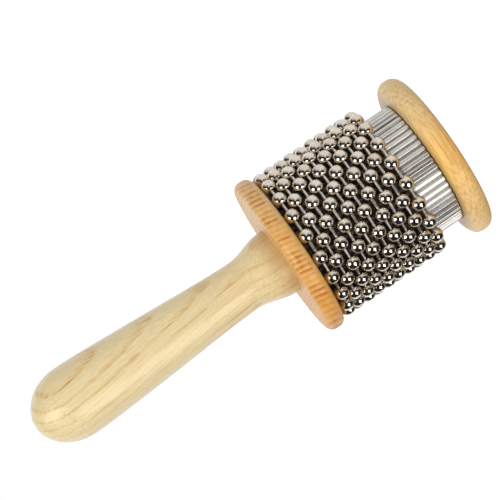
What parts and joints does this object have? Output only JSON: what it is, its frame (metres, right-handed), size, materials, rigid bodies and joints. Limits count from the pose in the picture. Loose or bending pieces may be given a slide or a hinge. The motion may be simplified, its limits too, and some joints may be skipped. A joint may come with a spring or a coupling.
{
  "type": "cabasa",
  "caption": "Hand percussion shaker: loose loops of steel ball chain round a corrugated metal drum, between two wooden discs on a turned wooden handle.",
  "frame": {"origin": "middle of the end cap's flat outer face, on which the part stands", "axes": "+Z along the drum's and handle's common axis, up towards the handle's rounded end; -Y is the front, the sleeve's seam is at +Y"},
  "size_m": [0.082, 0.082, 0.225],
  "materials": {
    "handle_wood": "pale ash with ochre grain along the handle, satin lacquer",
    "disc_wood": "orange-tan beech, eased edges, satin lacquer",
    "cap_wood": "golden wood with a bullnose edge, satin lacquer",
    "core_wood": "plain unfinished softwood, hidden",
    "sheet_steel": "bright corrugated stainless sheet",
    "pin_steel": "plain steel pins",
    "screw_steel": "zinc-plated screw",
    "ball_nickel": "polished nickel-plated balls",
    "link_wire": "nickel-plated wire links"
  },
  "bodies": {
    "drum_and_handle": {"handle": "handle_wood", "handle_disc": "disc_wood", "drum_core": "core_wood", "corrugated_sleeve": "sheet_steel", "seam_pins": "pin_steel", "end_cap": "cap_wood", "cap_screw": "screw_steel"},
    "chain_loop_01": {"chain_loop_01_balls": "ball_nickel", "chain_loop_01_links": "link_wire"},
    "chain_loop_02": {"chain_loop_02_balls": "ball_nickel", "chain_loop_02_links": "link_wire"},
    "chain_loop_03": {"chain_loop_03_balls": "ball_nickel", "chain_loop_03_links": "link_wire"},
    "chain_loop_04": {"chain_loop_04_balls": "ball_nickel", "chain_loop_04_links": "link_wire"},
    "chain_loop_05": {"chain_loop_05_balls": "ball_nickel", "chain_loop_05_links": "link_wire"},
    "chain_loop_06": {"chain_loop_06_balls": "ball_nickel", "chain_loop_06_links": "link_wire"},
    "chain_loop_07": {"chain_loop_07_balls": "ball_nickel", "chain_loop_07_links": "link_wire"},
    "chain_loop_08": {"chain_loop_08_balls": "ball_nickel", "chain_loop_08_links": "link_wire"},
    "chain_loop_09": {"chain_loop_09_balls": "ball_nickel", "chain_loop_09_links": "link_wire"},
    "chain_loop_10": {"chain_loop_10_balls": "ball_nickel", "chain_loop_10_links": "link_wire"}
  },
  "joints": [
    {"name": "chain_spin", "type": "hinge", "parent": "drum_and_handle", "child": "chain_loop_01", "pos_m": [0, 0, 0.0781], "axis": [0, 0, 1], "continuous": true},
    {"name": "loop_02_slide", "type": "slide", "parent": "chain_loop_01", "child": "chain_loop_02", "axis": [0, 0, -1], "range_m": [0, 0.00149]},
    {"name": "loop_03_slide", "type": "slide", "parent": "chain_loop_01", "child": "chain_loop_03", "axis": [0, 0, -1], "range_m": [0, 0.00298]},
    {"name": "loop_04_slide", "type": "slide", "parent": "chain_loop_01", "child": "chain_loop_04", "axis": [0, 0, -1], "range_m": [0, 0.00447]},
    {"name": "loop_05_slide", "type": "slide", "parent": "chain_loop_01", "child": "chain_loop_05", "axis": [0, 0, -1], "range_m": [0, 0.00596]},
    {"name": "loop_06_slide", "type": "slide", "parent": "chain_loop_01", "child": "chain_loop_06", "axis": [0, 0, -1], "range_m": [0, 0.00744]},
    {"name": "loop_07_slide", "type": "slide", "parent": "chain_loop_01", "child": "chain_loop_07", "axis": [0, 0, -1], "range_m": [0, 0.00893]},
    {"name": "loop_08_slide", "type": "slide", "parent": "chain_loop_01", "child": "chain_loop_08", "axis": [0, 0, -1], "range_m": [0, 0.01042]},
    {"name": "loop_09_slide", "type": "slide", "parent": "chain_loop_01", "child": "chain_loop_09", "axis": [0, 0, -1], "range_m": [0, 0.01191]},
    {"name": "loop_10_slide", "type": "slide", "parent": "chain_loop_01", "child": "chain_loop_10", "axis": [0, 0, -1], "range_m": [0, 0.0134]}
  ],
  "couplings": [
    {"joint": "loop_02_slide", "follows": "loop_10_slide", "ratio": 0.11111},
    {"joint": "loop_03_slide", "follows": "loop_10_slide", "ratio": 0.22222},
    {"joint": "loop_04_slide", "follows": "loop_10_slide", "ratio": 0.33333},
    {"joint": "loop_05_slide", "follows": "loop_10_slide", "ratio": 0.44444},
    {"joint": "loop_06_slide", "follows": "loop_10_slide", "ratio": 0.55556},
    {"joint": "loop_07_slide", "follows": "loop_10_slide", "ratio": 0.66667},
    {"joint": "loop_08_slide", "follows": "loop_10_slide", "ratio": 0.77778},
    {"joint": "loop_09_slide", "follows": "loop_10_slide", "ratio": 0.88889}
  ]
}
